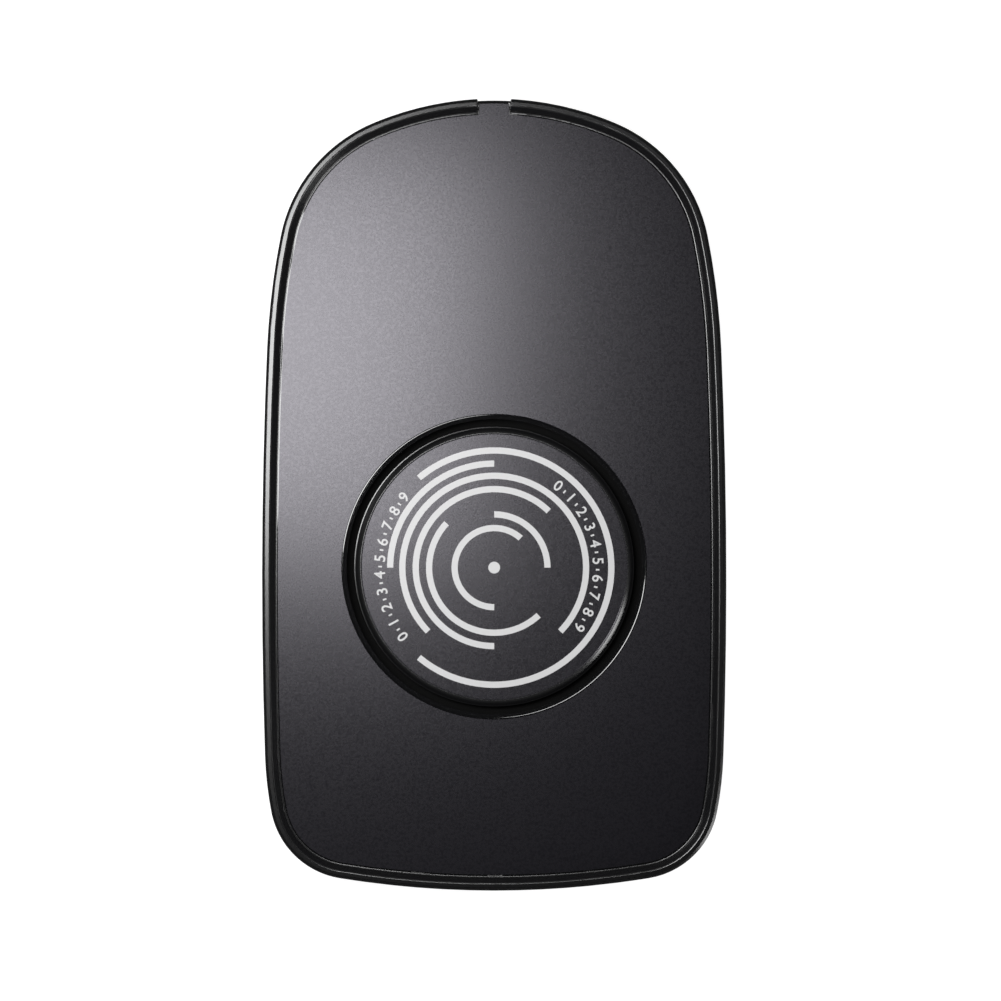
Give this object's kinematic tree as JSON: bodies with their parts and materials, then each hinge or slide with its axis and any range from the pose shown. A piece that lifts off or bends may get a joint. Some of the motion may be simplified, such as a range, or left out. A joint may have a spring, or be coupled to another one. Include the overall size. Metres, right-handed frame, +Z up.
{
  "type": "mouse jiggler",
  "caption": "Mouse-shaped desk tray with a raised rim, open at the front for a cord, and a motor-driven printed dial turning in a round well under the mouse's sensor.",
  "frame": {"origin": "on the desk, at the bottom of the rubber feet, under the middle of the case's outline", "axes": "+Z up; +Y along the case to the front, where the rim is open for a mouse's cord; +X to the right seen from above with the front away"},
  "size_m": [0.0762, 0.1299, 0.016],
  "materials": {
    "gloss_black": "polished black ABS: rim ring, side wall, well and the dial's carrier",
    "base_black": "finely textured black ABS",
    "deck_satin": "satin charcoal with a fine grain and polished edges",
    "dial_satin": "satin charcoal with light grey printed arcs, ticks and numbers",
    "foot_rubber": "matt black rubber",
    "screw_steel": "zinc-plated steel",
    "shaft_steel": "ground steel",
    "motor_steel": "drawn zinc-plated steel sheet",
    "bearing_brass": "sintered bronze",
    "gear_acetal": "natural acetal",
    "pinion_brass": "machined brass",
    "magnet_ferrite": "bonded ferrite",
    "coil_copper": "enamelled copper wire, wound",
    "board_mask": "green solder mask on glass-epoxy board",
    "chip_black": "moulded epoxy",
    "terminal_white": "natural nylon",
    "lead_red": "PVC insulation",
    "inlet_steel": "drawn stainless shell",
    "lamp_white": "moulded LED body",
    "pipe_clear": "clear acrylic rod",
    "knob_black": "satin black ABS",
    "felt_black": "dense black felt"
  },
  "bodies": {
    "case": {"rim_ring": "gloss_black", "upper_shell": "gloss_black", "lower_shell": "base_black", "deck_panel": "deck_satin", "front_right_foot": "foot_rubber", "front_left_foot": "foot_rubber", "rear_right_foot": "foot_rubber", "rear_left_foot": "foot_rubber", "case_screws": "screw_steel", "idler_pin": "shaft_steel", "turntable_bush": "bearing_brass", "dust_felt": "felt_black", "motor_flange": "motor_steel", "motor_lower_cup": "motor_steel", "motor_upper_cup": "motor_steel", "motor_poles": "motor_steel", "motor_lower_coil": "coil_copper", "motor_upper_coil": "coil_copper", "motor_lower_bearing": "bearing_brass", "motor_upper_bearing": "bearing_brass", "motor_screws": "screw_steel", "motor_leads": "lead_red", "motor_terminal": "terminal_white", "circuit_board": "board_mask", "board_screws": "screw_steel", "controller_chip": "chip_black", "driver_chip": "chip_black", "wire_header": "terminal_white", "indicator_lamp": "lamp_white", "light_pipe": "pipe_clear", "usb_inlet": "inlet_steel", "usb_inlet_tongue": "chip_black", "switch_case": "motor_steel"},
    "turntable": {"dial_plate": "dial_satin", "dial_carrier": "gloss_black", "spindle": "shaft_steel", "turntable_gear": "gear_acetal", "retaining_washer": "screw_steel", "retaining_screw": "screw_steel"},
    "idler": {"idler_gear": "gear_acetal"},
    "rotor": {"motor_shaft": "shaft_steel", "motor_magnet": "magnet_ferrite", "motor_pinion": "pinion_brass"},
    "knob": {"switch_knob": "knob_black"}
  },
  "joints": [
    {"name": "turntable_spin", "type": "hinge", "parent": "case", "child": "turntable", "pos_m": [0, -0.01185, 0.0134], "axis": [0, 0, 1], "continuous": true},
    {"name": "idler_spin", "type": "hinge", "parent": "case", "child": "idler", "pos_m": [0.00821, 0.0107, 0.006], "axis": [0, 0, 1], "continuous": true},
    {"name": "motor_spin", "type": "hinge", "parent": "case", "child": "rotor", "pos_m": [0.01368, 0.02574, 0.006], "axis": [0, 0, 1], "continuous": true},
    {"name": "power_slide", "type": "slide", "parent": "case", "child": "knob", "axis": [0, 1, 0], "range_m": [0, 0.002]}
  ],
  "couplings": [
    {"joint": "idler_spin", "follows": "turntable_spin", "ratio": -5},
    {"joint": "motor_spin", "follows": "turntable_spin", "ratio": 15}
  ]
}
